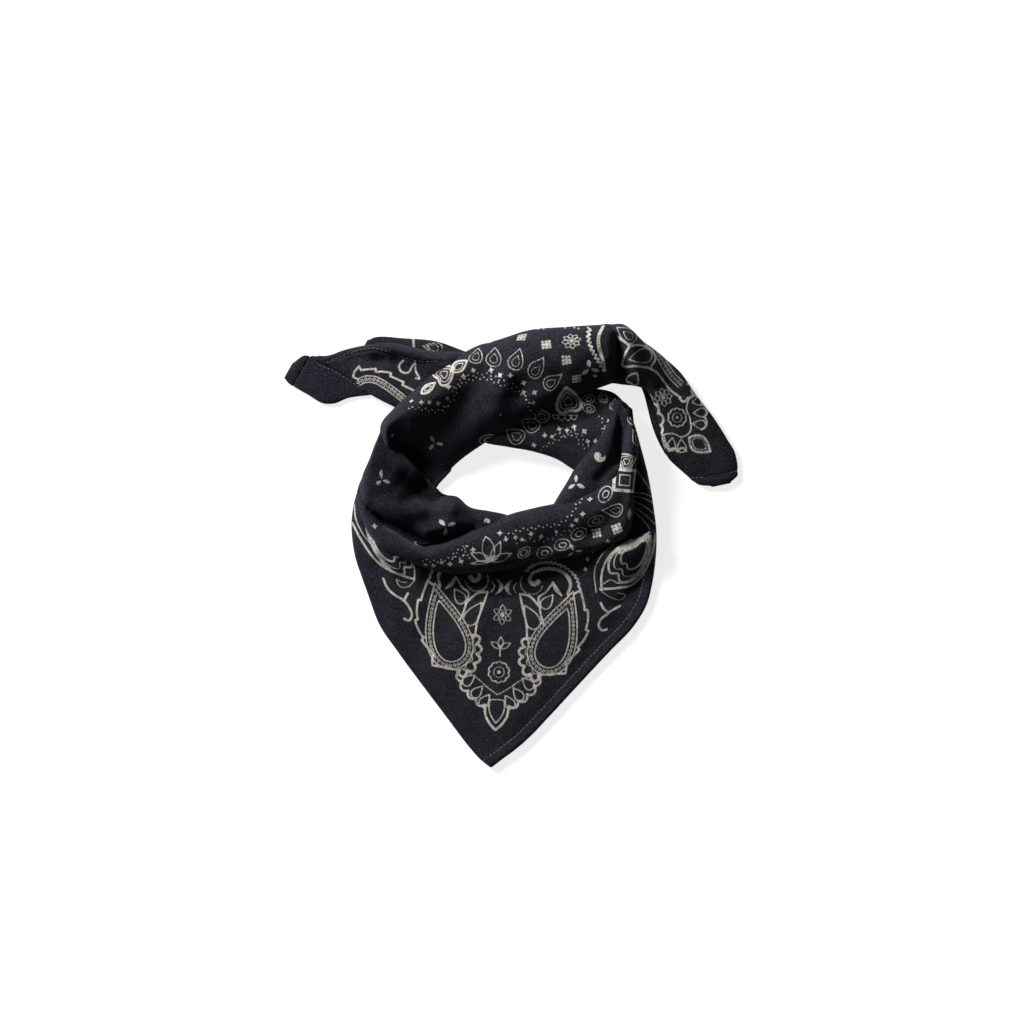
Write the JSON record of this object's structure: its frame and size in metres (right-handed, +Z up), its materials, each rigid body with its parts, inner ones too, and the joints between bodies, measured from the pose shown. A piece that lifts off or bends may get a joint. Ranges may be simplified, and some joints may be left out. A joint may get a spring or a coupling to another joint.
{
  "type": "tied neckerchief scarf",
  "caption": "Square cloth scarf folded to a triangle, rolled and tied in a loop, laid flat with its point in front and two tied ends at the back.",
  "frame": {"origin": "middle of the outline seen from above, on the surface that the scarf lies on", "axes": "+Z up off the surface, +Y from the point of the apron towards the knot side, +X towards the right tied end"},
  "size_m": [0.3396, 0.332, 0.038],
  "materials": {
    "printed_cloth": "brushed blue-black cotton with a warm light grey line print",
    "border_cloth": "brushed blue-black cotton, plain",
    "hem_cloth": "brushed blue-black cotton, turned in and stitched"
  },
  "bodies": {
    "root": {"apron_front": "printed_cloth", "apron_back": "printed_cloth", "apron_hem": "hem_cloth", "left_wing": "printed_cloth", "right_wing": "printed_cloth", "front_roll": "printed_cloth", "left_lobe": "printed_cloth", "back_band": "printed_cloth", "under_band": "printed_cloth", "inner_strip": "printed_cloth", "right_side": "printed_cloth", "left_tail": "printed_cloth", "left_tip": "border_cloth", "left_tail_hem": "hem_cloth", "left_tail_back": "printed_cloth", "right_tail": "printed_cloth", "right_tail_under": "printed_cloth", "right_tail_hem": "hem_cloth"}
  },
  "joints": []
}
